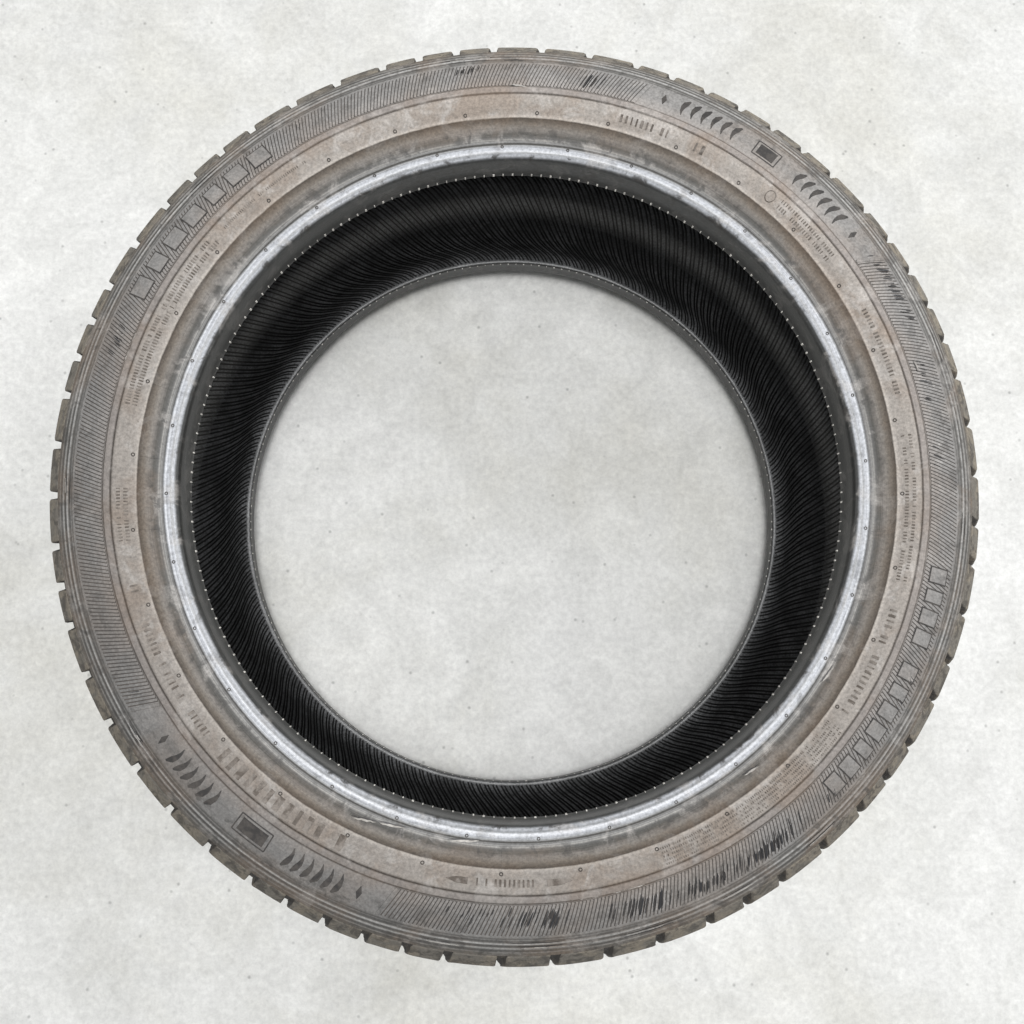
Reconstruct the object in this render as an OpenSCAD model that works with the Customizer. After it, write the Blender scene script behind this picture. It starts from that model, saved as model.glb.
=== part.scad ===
// A road tyre for a 20 inch rim, lying on its side, worn and off the wheel.
// It is one moulded piece: two beads, two side walls and a tread, open to the middle.
// The tyre turns about Z. Z = 0 is the surface that it lies on.

/* [Section] */
// Diameter of the rim that the beads fit, 20 inches
rim_d = 508; // [406:1:610]
// Height of the section, from the rim's diameter to the worn crown
section_h = 107; // [88:1:130]
// Width of the section over the two side ridges, which is how tall the tyre lies
section_w = 278; // [230:1:335]
// Thickness of the crown at the middle of the tread, groove depth included
crown_t = 12; // [10:0.5:15]
// Thickness of the side wall at its widest point
wall_t = 10.5; // [8:0.5:13]
// Radius of the crown across the tread
crown_r = 1300; // [900:10:1700]

/* [Bead] */
// Distance between the outer faces of the two beads, the width of the rim
bead_w = 242; // [200:1:260]
// Length of the bead seat, the part that grips the rim
seat_len = 12; // [8:0.5:15]
// Length of the tapered toe inside the seat
toe_len = 8; // [5:0.5:10]
// How far the toe's tip lies inside the seat's radius
toe_drop = 1.6; // [0.5:0.1:2.5]
// Radius of the bead's heel, where the seat turns into the outer face
heel_r = 7; // [5:0.5:9]
// Height of the bead's flat outer face above the seat
face_h = 14; // [12:0.5:17]

/* [Side wall] */
// Height of the rim guard's lip above the seat
lip_h = 27.5; // [24:0.5:32]
// How far the lip stands out past the bead's outer face
lip_out = 10.8; // [6:0.2:13]
// Height of the side ridge's middle above the seat, where the section is widest
ridge_h = 46.5; // [42:0.5:52]
// Width of the ridge's flat top
ridge_w = 4.4; // [3:0.2:8]
// How far the ridge stands up from the side wall
ridge_up = 0.8; // [0.4:0.1:1.5]
// Height of the two fine lines above the side wall
line_up = 0.6; // [0.3:0.1:1]

/* [Tread] */
// Width between the two shoulder edges
tread_w = 224; // [186:1:268]
// Drop from the crown to the shoulder edge
shoulder_drop = 8.5; // [6:0.5:11]
// Depth that is left of the grooves
groove_d = 5; // [3:0.5:7]
// Width of the four grooves that run round the tyre
ring_groove_w = 6.5; // [4:0.5:9]
// Distance of the inner pair of ring grooves from the middle
inner_groove = 27; // [20:1:34]
// Distance of the outer pair of ring grooves from the middle
outer_groove = 72; // [60:1:84]
// Width of a cross groove at the shoulder
cross_w = 7; // [4:0.5:8]
// Width of a cross groove at its inner end
cross_tip_w = 4; // [3:0.5:6]
// Shift of one side's grooves against the other's, in short pitches
stagger = 0.5; // [0:0.1:1]
// Angle of the first groove, clockwise from +X
first_groove = 6; // [0:0.5:10]
// Length of a long pitch against a short one
pitch_ratio = 1.28; // [1:0.01:1.5]

/* [Hidden] */

// Runs of pitches round the tread, short and long in turn: uneven steps keep the tread quiet.
pitch_runs = [1, 2, 1, 1, 2, 2, 2, 5, 5, 6, 2, 3, 3, 2, 3, 3, 3, 3, 6, 1, 5, 3];
pitches = [for (i = [0:len(pitch_runs) - 1]) for (n = [1:pitch_runs[i]]) i % 2 == 0 ? 1 : pitch_ratio];
function total(list, upto) = upto <= 0 ? 0 : list[upto - 1] + total(list, upto - 1);
short_pitch = 360 / total(pitches, len(pitches));

rim_r = rim_d / 2;
mid_z = section_w / 2;
side = section_w / 2;
face = bead_w / 2;
shoulder = tread_w / 2;
smooth = 7; // steps in each curve of the section
block_flare = 10; // how far the blocks' foot lies out from the shoulder, and down from it
crown_inset = 14; // where the crown's curve stops, in from the shoulder
corner_inset = 17; // where the liner turns from the crown to the wall, in from the shoulder

// All section points are [height above the seat, distance from the middle plane].
function bezier(a, b, c, d, t) =
    a * pow(1 - t, 3) + b * 3 * t * pow(1 - t, 2) + c * 3 * t * t * (1 - t) + d * pow(t, 3);
function curve(a, b, c, d, n = smooth) = [for (i = [0:n]) bezier(a, b, c, d, i / n)];
function crown_y(w) = section_h - w * w / (2 * crown_r);
function reversed(list) = [for (i = [len(list) - 1:-1:0]) list[i]];
function mirrored(list) = [for (p = reversed(list)) [p[0], -p[1]]];

// Bead: toe, seat, heel and outer face
toe_tip = [-toe_drop, face - heel_r - seat_len - toe_len];
seat_in = [0, face - heel_r - seat_len];
heel = [for (a = [0:15:90]) [heel_r - heel_r * cos(a), face - heel_r + heel_r * sin(a)]];
face_top = [face_h, face];
bead = concat([toe_tip, seat_in], heel, [face_top]);

// Rim guard: a hollow that takes the rim's flange, then the lip
lip = [lip_h, face + lip_out];
guard = curve(face_top, face_top + [6, 0.5], lip - [3, 5], lip - [0.6, 0.4]);

// Lower side wall, from the lip out to the ridge
wall = side - ridge_up;
band_end = [ridge_h - ridge_w / 2 - 0.4, wall];
lower_wall = concat([lip + [0.6, 0.2]],
                    curve(lip + [1.6, 0.4], lip + [6, 3.5], band_end - [7, 0], band_end, 6));
ridge = [[ridge_h - ridge_w / 2, side], [ridge_h + ridge_w / 2, side]];

// Upper side wall with two fine lines, up to the foot of the tread blocks
upper_start = [ridge_h + ridge_w / 2 + 0.4, wall];
block_foot = [section_h - shoulder_drop - block_flare, shoulder + block_flare];
upper_span = block_foot[0] - upper_start[0];
upper_lean = wall - block_foot[1];
function upper(t) = bezier(upper_start, upper_start + [upper_span * 0.3, 0],
                           block_foot - [upper_span * 0.3, -upper_lean * 0.55], block_foot, t);
function fine_line(t) = [upper(t - 0.012), upper(t) + [line_up * 0.4, line_up], upper(t + 0.012)];
upper_wall = concat([for (t = [0:0.13:0.65]) upper(t)], fine_line(0.74), fine_line(0.82),
                    [upper(0.91), block_foot]);

// Tread: shoulder edge, crown and ring grooves
shoulder_y = section_h - shoulder_drop;
crown_edge = shoulder - crown_inset;
shoulder_edge = [[shoulder_y - 1, shoulder + 1], [shoulder_y + 0.6, shoulder - 1.2]];
function ring_groove(w) = [
    [crown_y(w), w + ring_groove_w / 2], [crown_y(w) - groove_d, w + ring_groove_w / 2 - 1],
    [crown_y(w) - groove_d, w - ring_groove_w / 2 + 1], [crown_y(w), w - ring_groove_w / 2]];
function crown_run(from, to, n) = [for (i = [0:n]) let (w = from + (to - from) * i / n) [crown_y(w), w]];
crown = concat(
    crown_run(crown_edge, outer_groove + ring_groove_w, 3), ring_groove(outer_groove),
    crown_run(outer_groove - ring_groove_w, inner_groove + ring_groove_w, 4), ring_groove(inner_groove),
    crown_run(inner_groove - ring_groove_w, 0, 3));

// Inside: bead core, side wall and crown, as the inner liner covers them. Its curves are
// pulled by the lip and by the upper wall, so the wall stays thick however far it leans.
corner_w = shoulder - corner_inset;
liner_foot = toe_tip + [2.2, -1.6];
liner_belly = [ridge_h - 22, lip[1] - wall_t + 2.2];
liner_side = [ridge_h + 4, side - wall_t];
liner_corner = [crown_y(corner_w) - crown_t, corner_w];
liner_bend = [(liner_side[0] + liner_corner[0]) / 2, upper(0.5)[1]];
liner = concat(
    curve(liner_foot, liner_foot + [15, -0.5], liner_belly, liner_side),
    curve(liner_side, liner_bend, liner_corner + [-3, 21], liner_corner),
    [for (i = [1:5]) let (w = corner_w * (1 - i / 5)) [crown_y(w) - crown_t, w]]);

outer_half = concat(reversed(crown), reversed(shoulder_edge), reversed(upper_wall), reversed(ridge),
                    reversed(lower_wall), reversed(guard), reversed(bead));
half = concat(outer_half, liner);
outline = concat(half, mirrored(half));
function apart(p, q) = norm(p - q) > 0.05;
tidy = [for (i = [0:len(outline) - 1])
        if (apart(outline[i], outline[(i + 1) % len(outline)])) outline[i]];

// Cross grooves: each is a straight cut whose floor follows the crown. The outer one
// runs from the shoulder to the outer ring groove and the inner one on to the middle.
outer_slant = 8;
inner_slant = 38;
groove_end = 9; // where the inner cut stops, from the middle
open_end = block_foot[1] + 6; // where the outer cut runs out, past the blocks' foot
cut_top = 40; // how far the cuts stand up, clear of the crown
fall = shoulder_drop * 0.55; // how much further the floor falls than the crown does
fall_run = 40; // over this far past the outer ring groove
function floor_y(w) = crown_y(w) - groove_d - fall * pow(max(w - outer_groove, 0) / fall_run, 2);

module slot(from, to, slant, w_from, w_to) {
    // Stands across the tread: X round the tyre, Y along the axis, floor at floor_y.
    mid = (from + to) / 2;
    reach = (to - from) / 2 / cos(slant);
    low = floor_y(mid);
    lean = atan((floor_y(from) - floor_y(to)) / (to - from));
    translate([0, mid, low]) rotate([0, 0, slant]) rotate([-lean, 0, 0]) linear_extrude(cut_top)
        polygon([[-w_from / 2, -reach], [w_from / 2, -reach], [w_to / 2, reach],
                 [-w_to / 2, reach]]);
}

module cross_groove() {
    slot(outer_groove, open_end, -outer_slant, cross_tip_w + 1, cross_w);
    bend = (open_end - outer_groove) / 2 * tan(outer_slant)
        + (outer_groove - groove_end) / 2 * tan(inner_slant);
    translate([-bend, 0, 0]) slot(groove_end, outer_groove, -inner_slant, cross_tip_w, cross_tip_w + 1);
}

// Turns something that stands on the crown, its Y along the axis and Z outwards.
module on_crown(angle) {
    translate([0, 0, mid_z]) rotate([0, 0, angle]) rotate([90, 0, 90]) translate([0, 0, rim_r]) children();
}

module tyre() {
    color([0.16, 0.15, 0.15]) difference() {
        rotate_extrude($fn = 180) polygon([for (p = tidy) [rim_r + p[0], mid_z + p[1]]]);
        for (i = [0:len(pitches) - 1]) {
            angle = -first_groove - total(pitches, i) * short_pitch;
            on_crown(angle) cross_groove();
            on_crown(angle + stagger * short_pitch) mirror([0, 1, 0]) cross_groove();
        }
    }
}

tyre();
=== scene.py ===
"""An old worn tyre lying on its side on pale concrete, seen from almost straight above.

All lengths are in metres in the row frame: the tyre's axis is Z and it lies on Z = 0.
A point of the section is (height above the rim's radius, distance from the middle plane).
Turns are angles about the axis. Seen from above they are given clockwise, in degrees.
"""

import math

import bmesh
import bpy
import numpy as np
from mathutils import Matrix, Vector


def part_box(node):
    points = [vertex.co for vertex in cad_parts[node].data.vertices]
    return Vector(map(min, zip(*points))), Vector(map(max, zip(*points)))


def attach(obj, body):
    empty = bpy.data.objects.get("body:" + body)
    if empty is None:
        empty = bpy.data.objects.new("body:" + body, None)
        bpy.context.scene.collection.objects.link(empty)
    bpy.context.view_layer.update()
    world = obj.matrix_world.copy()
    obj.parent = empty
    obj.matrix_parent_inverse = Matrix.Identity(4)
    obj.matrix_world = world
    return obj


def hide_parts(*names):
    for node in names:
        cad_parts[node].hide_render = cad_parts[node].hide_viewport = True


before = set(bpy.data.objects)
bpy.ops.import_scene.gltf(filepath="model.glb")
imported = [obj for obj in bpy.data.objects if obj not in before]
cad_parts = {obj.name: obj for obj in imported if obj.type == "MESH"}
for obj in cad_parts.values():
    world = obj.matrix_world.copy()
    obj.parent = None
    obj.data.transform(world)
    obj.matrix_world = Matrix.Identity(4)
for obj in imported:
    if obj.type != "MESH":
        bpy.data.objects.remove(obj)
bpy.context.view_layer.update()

# ---------------------------------------------------------------------------
# Camera: held above the tyre, a little off its axis and tipped back to it.

scene = bpy.context.scene


def add_object(name, data):
    """A new object in the scene, at the origin."""
    thing = bpy.data.objects.new(name, data)
    scene.collection.objects.link(thing)
    return thing


camera_data = bpy.data.cameras.new("camera")
camera = add_object("camera", camera_data)
camera_data.sensor_width = 36.0
camera_data.lens = 34.5
camera_data.clip_start = 0.05
camera.location = (-0.0224, -0.1219, 0.987)
camera.rotation_mode = "ZYX"
camera.rotation_euler = (math.radians(7.47), math.radians(-1.3), 0.0)
scene.camera = camera

# ---------------------------------------------------------------------------
# Light: an overcast sky, a broad soft lamp overhead that reaches into the hole,
# and a window to one side that models the edges.

scene.view_settings.view_transform = "Standard"


def put(tree, kind, inputs=None, **settings):
    """Adds a node of a kind, with its settings, and sets or links its inputs."""
    node = tree.nodes.new(kind)
    for key, value in settings.items():
        setattr(node, key, value)
    for key, value in (inputs or {}).items():
        if isinstance(value, bpy.types.NodeSocket):
            tree.links.new(value, node.inputs[key])
        else:
            node.inputs[key].default_value = value
    return node


def reckon(tree, operation, *values, **settings):
    """The result of a math node on the values."""
    inputs = dict(enumerate(values))
    return put(tree, "ShaderNodeMath", inputs, operation=operation, **settings).outputs[0]


world = bpy.data.worlds.new("overcast sky")
scene.world = world
world.use_nodes = True
sky = world.node_tree
sky.nodes.clear()
seen = put(sky, "ShaderNodeBackground", {"Color": (0.80, 0.79, 0.75, 1.0), "Strength": 1.0})
lit = put(sky, "ShaderNodeBackground", {"Color": (0.97, 0.985, 1.0, 1.0), "Strength": 0.38})
rays = put(sky, "ShaderNodeLightPath").outputs
shown = reckon(sky, "MAXIMUM", rays["Is Camera Ray"], rays["Is Glossy Ray"])
shown = reckon(sky, "MAXIMUM", shown, rays["Is Transmission Ray"])
sky_mix = put(sky, "ShaderNodeMixShader", {0: shown, 1: lit.outputs[0], 2: seen.outputs[0]})
put(sky, "ShaderNodeOutputWorld", {"Surface": sky_mix.outputs[0]})

for lamp_name, place, size, power in (
    ("overhead light", (0.0, 0.0, 2.8), 1.1, 62.0),
    ("window light", (4.3, 2.7, 3.8), 2.6, 112.0),
):
    lamp_data = bpy.data.lights.new(lamp_name, "AREA")
    lamp_data.shape = "DISK"
    lamp_data.size = size
    lamp_data.energy = power
    lamp = add_object(lamp_name, lamp_data)
    lamp.location = place
    lamp.rotation_euler = (-Vector(place)).to_track_quat("-Z", "Y").to_euler()

# ---------------------------------------------------------------------------
# Floor: pale concrete, trowelled smooth, with clouds, faint stains and specks.


def linear(red, green, blue):
    """A colour in the renderer's linear terms, from its everyday 0 to 255 values."""
    def one(v):
        v /= 255
        return v / 12.92 if v <= 0.04045 else ((v + 0.055) / 1.055) ** 2.4
    return one(red), one(green), one(blue), 1.0


def ramp(tree, value, stops):
    """A colour ramp over a value, from (position, colour) stops."""
    node = put(tree, "ShaderNodeValToRGB", {"Fac": value})
    elements = node.color_ramp.elements
    for i, (at, colour) in enumerate(stops):
        element = elements[i] if i < 2 else elements.new(at)
        element.position = at
        element.color = colour
    return node.outputs["Color"]


def scaled(tree, colour, much):
    """A colour times a number."""
    return put(tree, "ShaderNodeVectorMath", {0: colour, "Scale": much}, operation="SCALE").outputs[0]


def shaded(tree, colour, value, low, high, low_at=0.3, high_at=0.7):
    """A colour made darker or lighter: by low to high as the value goes over its range."""
    much = put(tree, "ShaderNodeMapRange", {
        "Value": value, "From Min": low_at, "From Max": high_at, "To Min": low, "To Max": high})
    return scaled(tree, colour, much.outputs[0])


def noise(tree, spot, scale, detail, roughness=0.5, distortion=0.0):
    """A cloudy value that changes from place to place."""
    return put(tree, "ShaderNodeTexNoise", {
        "Vector": spot, "Scale": scale, "Detail": detail, "Roughness": roughness,
        "Distortion": distortion}).outputs["Fac"]


def new_material(name):
    """A material, its node tree and its shader."""
    material = bpy.data.materials.new(name)
    material.use_nodes = True
    return material, material.node_tree, material.node_tree.nodes["Principled BSDF"]


def roughen(tree, shader, height, strength, distance):
    """Gives a shader fine bumps, from a height."""
    bump = put(tree, "ShaderNodeBump", {"Height": height, "Strength": strength, "Distance": distance})
    tree.links.new(bump.outputs["Normal"], shader.inputs["Normal"])


floor_reach = 40.0
floor_mesh = bpy.data.meshes.new("floor")
floor_mesh.from_pydata(
    [(-floor_reach, -floor_reach, 0), (floor_reach, -floor_reach, 0),
     (floor_reach, floor_reach, 0), (-floor_reach, floor_reach, 0)],
    [], [(0, 1, 2, 3)],
)
floor = add_object("floor", floor_mesh)
concrete, tree, shader = new_material("pale concrete")
spot = put(tree, "ShaderNodeTexCoord").outputs["Object"]
clouds = noise(tree, spot, 3.1, 10.0, 0.66, 0.3)
tone = ramp(tree, clouds, [
    (0.34, linear(212, 211, 205)), (0.50, linear(222, 222, 219)), (0.64, linear(229, 229, 227))])
stains = noise(tree, spot, 17.0, 6.0, distortion=1.2)
sand = noise(tree, spot, 170.0, 5.0, 0.7)
strokes = noise(tree, spot, 62.0, 6.0, 0.6, 2.0)
for layer, darkest, lightest in ((stains, 0.90, 1.05), (sand, 0.86, 1.10), (strokes, 0.95, 1.04)):
    tone = shaded(tree, tone, layer, darkest, lightest)
pores = put(tree, "ShaderNodeTexVoronoi", {"Vector": spot, "Scale": 46.0}, feature="F1")
tone = shaded(tree, tone, pores.outputs["Distance"], 0.62, 1.0, 0.02, 0.10)
tree.links.new(tone, shader.inputs["Base Color"])
shader.inputs["Roughness"].default_value = 0.9
roughen(tree, shader, sand, 0.25, 0.0008)
floor_mesh.materials.append(concrete)


# ---------------------------------------------------------------------------
# Side walls, beads and liner: a closed ring that carries the tread. Rubber over
# ply cords, moulded in one with the rest. A rim guard's lip stands out above
# each bead, and a flat ridge marks the widest part, which the tyre lies on.

_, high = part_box("tyre")
MM = 0.001
rim_r = 254 * MM  # the bead seat, and the zero of all heights
middle = high[2] / 2  # the tyre's middle plane
side = middle  # half the section's width
section_h = high[0] - rim_r
face = 121 * MM
heel = 7 * MM
lip = np.array((27.5 * MM, face + 10.8 * MM))
face_top = np.array((14 * MM, face))
ridge_up = 0.8 * MM
ridge_h, ridge_half = 46.5 * MM, 2.2 * MM
shoulder = 112 * MM
crown_r = 1.3
crown_t = 12 * MM
band_start = lip + (1.6 * MM, 0.4 * MM)
band_end = np.array((ridge_h - ridge_half - 0.4 * MM, side - ridge_up))


def bezier(a, b, c, d, t):
    """A point at t on the curve from a to d, pulled towards b and c."""
    a, b, c, d = (np.array(p) for p in (a, b, c, d))
    return a * (1 - t) ** 3 + b * 3 * t * (1 - t) ** 2 + c * 3 * t * t * (1 - t) + d * t**3


def crown_h(w):
    """Height of the worn crown at a distance w from the middle plane."""
    return section_h - w * w / (2 * crown_r)


def guard(t):
    """The rim guard's hollow, from the bead's outer face (0) up to the lip (1)."""
    return bezier(face_top, face_top + (6 * MM, 0.5 * MM), lip - (3 * MM, 5 * MM), lip - 0.6 * MM, t)


def lower_wall(t):
    """The broad band from the lip (0) out to the flat ridge (1)."""
    return bezier(band_start, lip + (6 * MM, 3.5 * MM), band_end - (7 * MM, 0), band_end, t)


def upper_wall(t):
    """The side wall from the flat ridge (0) to the foot of the tread blocks (1)."""
    start = np.array((ridge_h + ridge_half + 0.4 * MM, side - ridge_up))
    foot = np.array((section_h - 18.5 * MM, shoulder + 10 * MM))  # where the blocks start
    span, lean = foot[0] - start[0], start[1] - foot[1]
    return bezier(start, start + (span * 0.3, 0), foot + (-span * 0.3, lean * 0.55), foot, t)


def heel_arc(angle):
    """The bead's heel, from the seat (0 degrees) to the outer face (90)."""
    c, s = math.cos(math.radians(angle)), math.sin(math.radians(angle))
    return np.array((heel - heel * c, face - heel + heel * s))


toe = np.array((-1.6 * MM, face - heel - 20 * MM))
liner_foot = toe + (2.2 * MM, -1.6 * MM)
liner_side = np.array((ridge_h + 4 * MM, side - 10.5 * MM))
corner_w = shoulder - 17 * MM  # where the liner turns from the wall to the crown
corner = np.array((crown_h(corner_w) - crown_t, corner_w))


def liner_wall(t):
    """The inside of the side wall, from the toe (0) to its widest point (1)."""
    return bezier(liner_foot, liner_foot + (15 * MM, -0.5 * MM), liner_side - (26 * MM, 5 * MM),
                  liner_side, t)


def liner_corner(t):
    """The inside from the wall's widest point (0) to the edge of the crown (1)."""
    rise = corner[0] - liner_side[0]
    return bezier(liner_side, liner_side + (rise * 0.5, 5 * MM), corner + (-3 * MM, 21 * MM), corner, t)


def ring_mesh(name, rows, turns):
    """Turns rows of (height, distance) into a mesh round the axis.

    rows is an array [row, column, 2] or [row, 2], and turns is the angle of each
    [row, column] or of each column. The rows run so that faces point outwards.
    """
    turns = np.asarray(turns)
    rows = np.asarray(rows)
    columns = turns.shape[-1]
    count = rows.shape[0]
    if rows.ndim == 2:
        rows = np.repeat(rows[:, None, :], columns, axis=1)
    if turns.ndim == 1:
        turns = np.repeat(turns[None, :], count, axis=0)
    r = rim_r + rows[..., 0]
    points = np.stack([r * np.cos(turns), r * np.sin(turns), middle + rows[..., 1]], -1)
    here = np.arange(count)
    after = (here + 1) % count
    c = np.arange(columns)
    d = (c + 1) % columns
    quads = np.stack([
        here[:, None] * columns + c, here[:, None] * columns + d,
        after[:, None] * columns + d, after[:, None] * columns + c,
    ], -1)
    mesh = bpy.data.meshes.new(name)
    mesh.from_pydata(points.reshape(-1, 3).tolist(), [], quads.reshape(-1, 4).tolist())
    mesh.shade_smooth()
    return mesh


def tyre_piece(piece):
    """Declares a piece as part of the tyre's one body and its one CAD node."""
    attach(piece, "root")
    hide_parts("tyre")


# Dirt and wear that every rubber shares are shader groups, each set to its own strength.
COLOUR, FLOAT, VECTOR = "NodeSocketColor", "NodeSocketFloat", "NodeSocketVector"


def group_tree(name, inputs, outputs):
    """A shader group with the named inputs and outputs, and its two end nodes."""
    tree = bpy.data.node_groups.new(name, "ShaderNodeTree")
    for label, kind, value in inputs:
        tree.interface.new_socket(label, in_out="INPUT", socket_type=kind).default_value = value
    for label, kind in outputs:
        tree.interface.new_socket(label, in_out="OUTPUT", socket_type=kind)
    return tree, tree.nodes.new("NodeGroupInput").outputs, tree.nodes.new("NodeGroupOutput").inputs


# Where a point is round the tyre: its radius, a radius whose edges waver, and a
# vector that changes fast across the rings and slowly along them, for streaks.
ring_place, given, made = group_tree(
    "place round the tyre", [("Stretch", FLOAT, 90.0), ("Waver", FLOAT, 0.004)],
    [("Radius", FLOAT), ("Wavy Radius", FLOAT), ("Rubbed Radius", FLOAT), ("Along", VECTOR),
     ("Cleaner", FLOAT)])
spot = put(ring_place, "ShaderNodeTexCoord").outputs["Object"]
split = put(ring_place, "ShaderNodeSeparateXYZ", {0: spot}).outputs
flat = put(ring_place, "ShaderNodeCombineXYZ", {"X": split["X"], "Y": split["Y"]}).outputs[0]
radius = put(ring_place, "ShaderNodeVectorMath", {0: flat}, operation="LENGTH").outputs["Value"]
unit = put(ring_place, "ShaderNodeVectorMath", {0: flat}, operation="NORMALIZE").outputs[0]
apart = put(ring_place, "ShaderNodeSeparateXYZ", {0: unit}).outputs
across = reckon(ring_place, "MULTIPLY_ADD", split["Z"], 0.7, radius)
fast = reckon(ring_place, "MULTIPLY", across, given["Stretch"])
along = put(ring_place, "ShaderNodeCombineXYZ", {"X": apart["X"], "Y": apart["Y"], "Z": fast}).outputs[0]
bend = reckon(ring_place, "SUBTRACT", noise(ring_place, spot, 55.0, 6.0, 0.65), 0.5)
wavy = reckon(ring_place, "MULTIPLY_ADD", bend, given["Waver"], radius)
# Painted reflection: the bead's silver band, a painted reflection of the sky, lies up to 1.9 mm
# further in at +Y and -Y, as a highlight would.
to_y = reckon(ring_place, "ABSOLUTE", apart["Y"])
sheen_shifted = reckon(ring_place, "MULTIPLY_ADD", to_y, 0.0019, wavy)
# Painted light: the side towards the window lamp is painted paler and the far side darker, as a factor.
lit_side = put(ring_place, "ShaderNodeVectorMath", {0: unit, 1: (0.15, 0.21, 0.0)}, operation="DOT_PRODUCT")
lit_side = reckon(ring_place, "ADD", lit_side.outputs["Value"], 1.0)
for label, result in (("Radius", radius), ("Wavy Radius", wavy), ("Rubbed Radius", sheen_shifted),
                      ("Along", along), ("Cleaner", lit_side)):
    ring_place.links.new(result, made[label])


def mixed(tree, fac, a, b):
    """A mix of two colours."""
    blend = put(tree, "ShaderNodeMix", data_type="RGBA")
    for socket, value in (("Factor", fac), ("A", a), ("B", b)):
        if isinstance(value, bpy.types.NodeSocket):
            tree.links.new(value, blend.inputs[socket])
        else:
            blend.inputs[socket].default_value = value
    return blend.outputs["Result"]


# Dust: a film in patches, soft or crisp at their edges.
dust, given, made = group_tree(
    "settled dust",
    [("Color", COLOUR, (0.5, 0.5, 0.5, 1)), ("Dust Color", COLOUR, (0.60, 0.54, 0.47, 1)),
     ("Amount", FLOAT, 0.3), ("Scale", FLOAT, 22.0), ("Edge", FLOAT, 0.12), ("Cover", FLOAT, 0.5)],
    [("Color", COLOUR)])
spot = put(dust, "ShaderNodeTexCoord").outputs["Object"]
cut = reckon(dust, "SUBTRACT", 1.0, given["Cover"])
patch = put(dust, "ShaderNodeMapRange", {
    "Value": noise(dust, spot, given["Scale"], 8.0, 0.62, 0.6),
    "From Min": reckon(dust, "SUBTRACT", cut, given["Edge"]),
    "From Max": reckon(dust, "ADD", cut, given["Edge"])}, interpolation_type="SMOOTHSTEP").outputs[0]
mask = reckon(dust, "MULTIPLY", patch, given["Amount"], use_clamp=True)
dust.links.new(mixed(dust, mask, given["Color"], given["Dust Color"]), made["Color"])

# Grain: the fine speckle of weathered rubber, and its bump.
grain, given, made = group_tree(
    "weathered grain",
    [("Color", COLOUR, (0.5, 0.5, 0.5, 1)), ("Amount", FLOAT, 0.25), ("Scale", FLOAT, 900.0)],
    [("Color", COLOUR), ("Height", FLOAT)])
spot = put(grain, "ShaderNodeTexCoord").outputs["Object"]
speck = noise(grain, spot, given["Scale"], 5.0, 0.65)
less = reckon(grain, "SUBTRACT", 1.0, given["Amount"])
more = reckon(grain, "ADD", 1.0, given["Amount"])
grain.links.new(shaded(grain, given["Color"], speck, less, more), made["Color"])
grain.links.new(speck, made["Height"])


def dusted(tree, colour, dirt, amount, scale, edge, cover=0.5):
    """A colour under a patchy film of dirt."""
    return put(tree, "ShaderNodeGroup", {
        "Color": colour, "Dust Color": dirt, "Amount": amount, "Scale": scale, "Edge": edge,
        "Cover": cover}, node_tree=dust).outputs["Color"]


def grained(tree, colour, amount, scale):
    """A colour with the fine speckle of weathered rubber: gives Color and Height."""
    return put(tree, "ShaderNodeGroup", {"Color": colour, "Amount": amount, "Scale": scale},
               node_tree=grain).outputs


def worn(red, green, blue):
    """A rubber's own colour, from how bright it looks in the open on a 0 to 255 scale."""
    return tuple(v * 0.72 for v in linear(red, green, blue)[:3]) + (1.0,)


def by_radius(tree, radius, stops):
    """A colour ramp over the radius, from (height above the rim in mm, colour) stops."""
    low_h = -2
    total = section_h / MM - low_h
    share = put(tree, "ShaderNodeMapRange", {
        "Value": radius, "From Min": rim_r + low_h * MM, "From Max": rim_r + section_h})
    stops = [((h - low_h) / total, colour) for h, colour in stops]
    return ramp(tree, share.outputs[0], stops)


def level(value):
    """A grey that carries a plain number through a colour ramp."""
    return value, value, value, 1.0


def much_by_radius(tree, radius, stops):
    """A number that changes over the radius, from (height above the rim in mm, number) stops."""
    return by_radius(tree, radius, [(h, level(much)) for h, much in stops])


# Side wall rubber: grey under brown road dust, the guard browner, and the bead rubbed smooth where it
# sat on the rim, its sheen painted in as a silver band: a painted reflection of the sky. Colours go by
# radius.
wall_rubber, tree, shader = new_material("dusty side wall rubber")
where = put(tree, "ShaderNodeGroup", {"Stretch": 620.0, "Waver": 0.0012}, node_tree=ring_place).outputs
seat_dark = worn(15, 16, 15)
seat_grey = worn(46, 47, 46)
heel_grey = worn(88, 89, 89)
sky_sheen_edge = worn(146, 148, 151)
sky_sheen = worn(208, 211, 217)
bead_dark = worn(84, 83, 81)
hollow_shade = worn(86, 84, 80)
taupe = worn(150, 144, 137)
crease_shade = worn(74, 66, 60)
lip_pale = worn(200, 192, 183)
band_beige = worn(182, 175, 168)
band_outer = worn(167, 160, 153)
ridge_grey = worn(154, 147, 142)
rib_warm = worn(157, 152, 148)
rib_cool = worn(146, 144, 142)
line_pale = worn(176, 175, 173)
line_dark = worn(82, 81, 80)
buttress = worn(132, 129, 124)
# Painted reflection: the silver stops paint the sky's reflection in the rubbed bead into its colour.
bead = by_radius(tree, where["Rubbed Radius"], [
    (-2, seat_dark), (-0.8, seat_grey), (0.0, seat_dark), (1.2, seat_grey), (2.0, heel_grey),
    (2.5, seat_grey), (3.3, sky_sheen_edge), (4.2, sky_sheen), (6.2, sky_sheen_edge), (7.4, sky_sheen),
    (10.4, sky_sheen), (11.4, sky_sheen_edge), (12.6, bead_dark)])
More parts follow.
